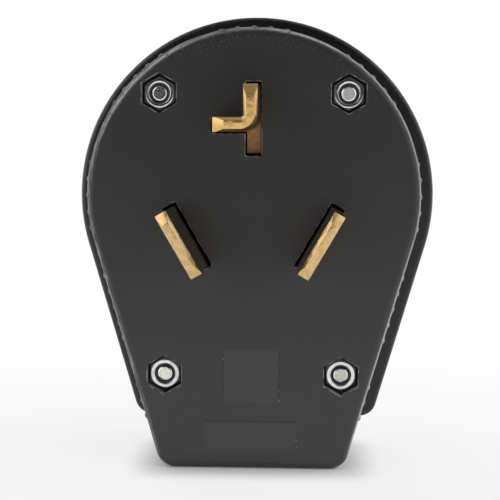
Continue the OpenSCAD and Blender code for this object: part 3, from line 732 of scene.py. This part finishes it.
# The rim's rounded front edge is paler in broken patches.
pale_rim_patches = calc(tree, "MULTIPLY", on_edge, fade(tree, clouds(tree, place, 0.35, 3.0), 0.75, 0.2))
colour = blend_colours(tree, skin["Mottle"], grey(0.006), grey(0.010))
colour = blend_colours(tree, pale_rim_patches, colour, grey(0.10))
roughness = calc(tree, "MULTIPLY_ADD", skin["Mottle"], 0.10, 0.22)
dress(tree, shader, colour, roughness, skin["Height"], 0.2, 0.3 * mm)


def rounded_back(line, r, depth, steps):
    """Rings of a rounded edge that closes in from the full outline."""
    turns = [math.radians(90 / steps * i) for i in range(steps + 1)]
    return [ring(line, r * (1 - math.cos(a)), depth - r * (1 - math.sin(a))) for a in turns]


def one_finish(piece, material):
    """Gives all of a piece one material."""
    piece.data.materials.clear()
    piece.data.materials.append(material)


rim_line = outline(rim_r, rim_drop, rim_corner, rim_low)
back_line = outline(back_r, back_drop, back_corner, rim_low)
rings = [ring(rim_line, rim_front_round + flat_margin, body_depth)]
rings += rounded_front(rim_line, rim_front_round, body_depth, 8)
rings += rounded_back(rim_line, rim_back_round, rim_depth, 5)
rings += rounded_front(back_line, -step_fillet, rim_depth, 4)
rings += rounded_back(back_line, back_round, back_depth, 12)
rings.append(ring(back_line, back_round + back_margin, back_depth))
cover = loft(rings, "back_cover_shell", [cover_plastic])
bowl_drop = back_drop - wall_t
bowl_line = outline(back_r - wall_t, bowl_drop, back_corner - wall_t, rim_low)
bowl_ends = [ring(bowl_line, 0, body_depth - overcut), ring(bowl_line, 0, cover_floor)]
carve(cover, loft(bowl_ends, "bowl", [cover_plastic]))
carve(cover, prisms("cover_bosses", bosses, body_depth, cover_floor + overlap), "UNION")
carve(cover, prisms("cover_holes", holes, body_depth - overcut, back_depth + overcut))
sinks = [round_shape(sink_r, spot) for spot in screw_spots]
carve(cover, prisms("head_holes", sinks, head_seat, back_depth + overcut))
notch_low, notch_high = -rim_drop - rim_low - overcut, -bowl_drop - rim_low + overcut
carve(cover, upright_rod("cord_notch", notch_r, body_depth, notch_low, notch_high))
one_finish(cover, cover_plastic)
smooth(cover)
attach(cover, "root")
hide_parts("back_cover")

# Cover screws
# Four long pan-headed steel screws pass the cover and the body from behind. Their ends show
# in the middle of the nuts.
screw_d, head_h = 4 * mm, 2.4 * mm
cover_head_d, cover_screw_tip = 7 * mm, 2.3 * mm
thread_pitch, thread_depth, most_turns = 0.6 * mm, 0.3 * mm, 16
any_turn = 6.28


def pan_screw(name, d, head_d, head_h, seat, tip):
    """A pan-headed screw along Y with a rolled thread and a cross recess, its head behind the seat."""
    r, top = d / 2, seat + head_h
    stops = [(0, tip), (r - 0.55 * mm, tip), (r - 0.25 * mm, tip + 0.11 * mm)]
    stops.append((r - 0.05 * mm, tip + 0.55 * mm))
    for i in range(min(most_turns, round((seat - tip) / thread_pitch) - 2)):
        root = tip + thread_pitch * (i + 1)
        stops += [(r - thread_depth, root), (r, root + thread_pitch / 2)]
    side_h = head_h * 0.35
    stops += [(r, seat), (head_d / 2, seat), (head_d / 2, seat + side_h)]
    for i in range(1, 7):
        turn = math.radians(15 * i)
        reach = head_d / 2 * (0.55 + 0.45 * math.cos(turn))
        stops.append((reach, seat + side_h + (head_h - side_h) * math.sin(turn)))
    stops.append((0, top))
    screw = from_bmesh(lathe(stops, 32), name, [zinc])
    for turn in (0, math.pi / 2):
        bar = oblong(head_d * 0.29, head_d * 0.07, 0.1 * mm, turn, (0, 0))
        carve(screw, prisms("recess", [bar], top - head_h * 0.6, top + overcut))
    one_finish(screw, zinc)
    return screw


cut_steel, tree, shader, place = finish_start("cut_steel", 1.0)
marks = use_effect(tree, scratch, place, length=1.0, fineness=2.5)
scored = fade(tree, marks["Lines"], 0.30, 0.42)
colour = blend_colours(tree, scored, (0.74, 0.75, 0.67), (0.30, 0.30, 0.27))
sideways = put(tree, "ShaderNodeSeparateXYZ", {0: place}).outputs["X"]
rougher = fade(tree, sideways, 10.0, -10.0, 0.42, 0.10)
roughness = calc(tree, "MULTIPLY_ADD", marks["Patches"], 0.15, rougher)
dress(tree, shader, colour, roughness, marks["Lines"], 0.1, 0.2 * mm)

screw = pan_screw("cover_screw", screw_d, cover_head_d, head_h, head_seat, cover_screw_tip)
screws = set_out("cover_screw_set", screw, screw_spots, zinc, any_turn, seed=4)
smooth(screws, 15)
one_finish(screws, zinc)
screws.data.materials.append(cut_steel)
for face in screws.data.polygons:
    face.material_index = int(face.center.y < cover_screw_tip + 0.005 * mm)
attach(screws, "root")
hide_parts("cover_screws")

# Lock nuts
# Hexagon lock nuts of plated steel sit in the pockets of the face. Their front edge is rolled over
# a dark nylon ring that grips the thread.
nut_af, nut_top_r, nut_front = 7.1 * mm, 3.4 * mm, 2.02 * mm
nut_slope, nut_waist = 0.577, 4 * mm


def hexed(r, a):
    """Limits a turned radius to the flats of the hexagon."""
    turn = ((a + math.radians(30)) % math.radians(60)) - math.radians(30)
    return min(r, nut_af / 2 / math.cos(turn))


nut_stops = [
    (2.03, 7.0), (3.4, 7.0), (4.2, 6.75), (4.2, 2.5), (3.85, 2.3), (3.6, 2.1), (3.4, 2.02), (3.32, 2.0),
    (2.68, 2.0), (2.58, 2.03), (2.52, 2.1), (2.5, 2.2), (2.5, 2.5), (2.8, 2.5), (2.8, 3.8), (2.03, 3.8),
]
bm = lathe([(r * mm, y * mm) for r, y in nut_stops], 96, hexed)
for corner in bm.verts:
    reach = math.hypot(corner.co.x, corner.co.z)
    if reach > nut_top_r and corner.co.y < nut_waist:
        corner.co.y = nut_front + nut_slope * (reach - nut_top_r)
bmesh.ops.remove_doubles(bm, verts=bm.verts, dist=merge_gap)
nut = from_bmesh(bm, "nut", [zinc])
nuts = set_out("lock_nut_set", nut, screw_spots, zinc)
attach(nuts, "root")
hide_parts("cover_nuts")

nylon, tree, shader, place = finish_start("dark_nylon")
skin = use_effect(tree, grain, place, fineness=3.0, waviness=0.5)
colour = blend_colours(tree, skin["Mottle"], (0.03, 0.03, 0.03), (0.06, 0.06, 0.055))
dress(tree, shader, colour, calc(tree, "MULTIPLY_ADD", skin["Mottle"], 0.2, 0.35))
collar_stops = [
    (2.03, 3.75), (2.78, 3.75), (2.78, 2.6), (2.7, 2.54), (2.3, 2.54), (2.1, 2.65), (2.03, 2.8),
]
collar = from_bmesh(lathe([(r * mm, y * mm) for r, y in collar_stops], 48), "collar", [nylon])
collars = set_out("nylon_ring_set", collar, screw_spots, nylon)
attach(collars, "root")
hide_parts("nut_lock_rings")

# Cord clamp
# A bent steel strap across the cord opening at the foot, held by two pan-headed screws in brass
# inserts. It grips the jacket of the cord.
strap_head_d, strap_seat, strap_screw_tip = 6.6 * mm, 24 * mm, 15 * mm
strap = rounded_copy("cord_clamp", "cord_clamp_strap", [zinc], 0.25 * mm)
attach(strap, "root")
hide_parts("cord_clamp")
strap_screw = pan_screw("clamp_screw", screw_d, strap_head_d, head_h, strap_seat, strap_screw_tip)
strap_screws = set_out("clamp_screw_set", strap_screw, strap_spots, zinc, any_turn, seed=2)
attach(strap_screws, "root")
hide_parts("cord_clamp_screws")

# Floor, light and camera
# A plain white floor carries the foot of the plug, under soft light from all round. The camera
# looks straight at the face from a little above its middle.
floor_half, foot_half_w = 4.0, 21 * mm
floor_mesh = bpy.data.meshes.new("floor")
corner_sides = ((-1, -1), (1, -1), (1, 1), (-1, 1))
floor_corners = [(x * floor_half, y * floor_half, -tail_drop) for x, y in corner_sides]
floor_mesh.from_pydata(floor_corners, [], [(0, 1, 2, 3)])
floor = bpy.data.objects.new("floor", floor_mesh)
bpy.context.scene.collection.objects.link(floor)
floor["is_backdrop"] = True


def seen_directly(tree):
    """1 for rays from the camera, from mirror-like surfaces or through glass."""
    rays = tree.nodes.new("ShaderNodeLightPath").outputs
    mirrored = calc(tree, "MAXIMUM", rays["Is Camera Ray"], rays["Is Glossy Ray"])
    return calc(tree, "MAXIMUM", mirrored, rays["Is Transmission Ray"])


paint = bpy.data.materials.new("floor_paint")
paint.use_nodes = True
tree = paint.node_tree
shader = tree.nodes["Principled BSDF"]
shader.inputs["Base Color"].default_value = (0.9, 0.9, 0.9, 1)
shader.inputs["Roughness"].default_value = 0.9
shader.inputs["Specular IOR Level"].default_value = 0.0
place = tree.nodes.new("ShaderNodeTexCoord").outputs["Object"]

# The floor looks white, apart from a soft shadow round the foot.
far = fade(tree, away_from(tree, place, (0, 0, 0)), 0.07, 0.22, 0.75, 1.0)
gap = vector_calc(tree, "ABSOLUTE", vector_calc(tree, "SUBTRACT", place, (0, body_depth / 2, 0)))
gap = vector_calc(tree, "SUBTRACT", gap, (foot_half_w, body_depth / 2, floor_half))
gap = vector_calc(tree, "MAXIMUM", gap, (0, 0, 0))
clear = fade(tree, away_from(tree, gap, (0, 0, 0)), 0.0, 12 * mm, 0.1, 1.0)
glow = put(tree, "ShaderNodeEmission", {"Color": (1, 1, 1, 1), "Strength": 1.0})
lit = chain(tree, "MULTIPLY", far, clear, seen_directly(tree))
mixed = put(tree, "ShaderNodeMixShader", {0: lit, 1: shader.outputs[0], 2: glow.outputs[0]})
tree.links.new(mixed.outputs[0], tree.nodes["Material Output"].inputs[0])
floor_mesh.materials.append(paint)

scene = bpy.context.scene
world = bpy.data.worlds.new("studio")
scene.world = world
world.use_nodes = True
tree = world.node_tree
soft = tree.nodes["Background"]
soft.inputs[0].default_value = (1, 1, 1, 1)
soft.inputs[1].default_value = 0.5
white = put(tree, "ShaderNodeBackground", {0: (1, 1, 1, 1), 1: 1.0})
seen = seen_directly(tree)
mixed = put(tree, "ShaderNodeMixShader", {0: seen, 1: soft.outputs[0], 2: white.outputs[0]})
tree.links.new(mixed.outputs[0], tree.nodes["World Output"].inputs[0])


def soft_box(name, spot, size, power, shown=False):
    """A square area lamp that faces the plug, shown or hidden in mirror-like surfaces."""
    lamp = bpy.data.lights.new(name, "AREA")
    lamp.size, lamp.energy = size, power
    box = bpy.data.objects.new(name, lamp)
    box.location = spot
    box.visible_glossy = shown
    box.rotation_euler = (-Vector(spot)).to_track_quat("-Z", "Y").to_euler()
    scene.collection.objects.link(box)


soft_box("left_box", (-0.75, -0.2, 0.3), size=1.4, power=3.0, shown=True)
soft_box("right_box", (0.75, -0.05, 0.25), size=1.2, power=6.0)
soft_box("back_box", (-0.3, 0.8, 0.35), size=0.6, power=4.0)


def card(name, near, far, level):
    """A matt grey card between two edges, one metre wide, that cameras do not see."""
    mesh = bpy.data.meshes.new(name)
    mesh.from_pydata([(-0.5, *near), (0.5, *near), (0.5, *far), (-0.5, *far)], [], [(0, 1, 2, 3)])
    board = bpy.data.objects.new(name, mesh)
    scene.collection.objects.link(board)
    board.visible_camera = False
    matt = bpy.data.materials.new(name + "_felt")
    matt.use_nodes = True
    felt = matt.node_tree.nodes["Principled BSDF"].inputs
    felt["Base Color"].default_value = (*grey(level), 1)
    felt["Roughness"].default_value = 1.0
    mesh.materials.append(matt)
    board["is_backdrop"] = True


card("dark_front_card", (-0.9, -0.02), (-0.9, 0.75), 0.02)
card("grey_top_card", (-0.9, 0.75), (0.7, 0.75), 0.4)

camera_spot = Vector((10.01, -284.96, 15.06)) * mm
yaw, pitch, roll = math.radians(-2.152), math.radians(-5.581), math.radians(0.261)
ahead = Vector((math.sin(yaw) * math.cos(pitch), math.cos(yaw) * math.cos(pitch), math.sin(pitch)))
right = Vector((math.cos(yaw), -math.sin(yaw), 0))
above = right.cross(ahead)
across = math.cos(roll) * right + math.sin(roll) * above
above = math.cos(roll) * above - math.sin(roll) * right
lens = bpy.data.cameras.new("camera")
lens.lens, lens.sensor_width, lens.clip_start = 86.244, 36, 0.01
camera = bpy.data.objects.new("camera", lens)
turn = Matrix((across, above, -ahead)).transposed()
camera.matrix_world = Matrix.Translation(camera_spot) @ turn.to_4x4()
scene.collection.objects.link(camera)
scene.camera = camera
scene.view_settings.view_transform = "Standard"

low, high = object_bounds()
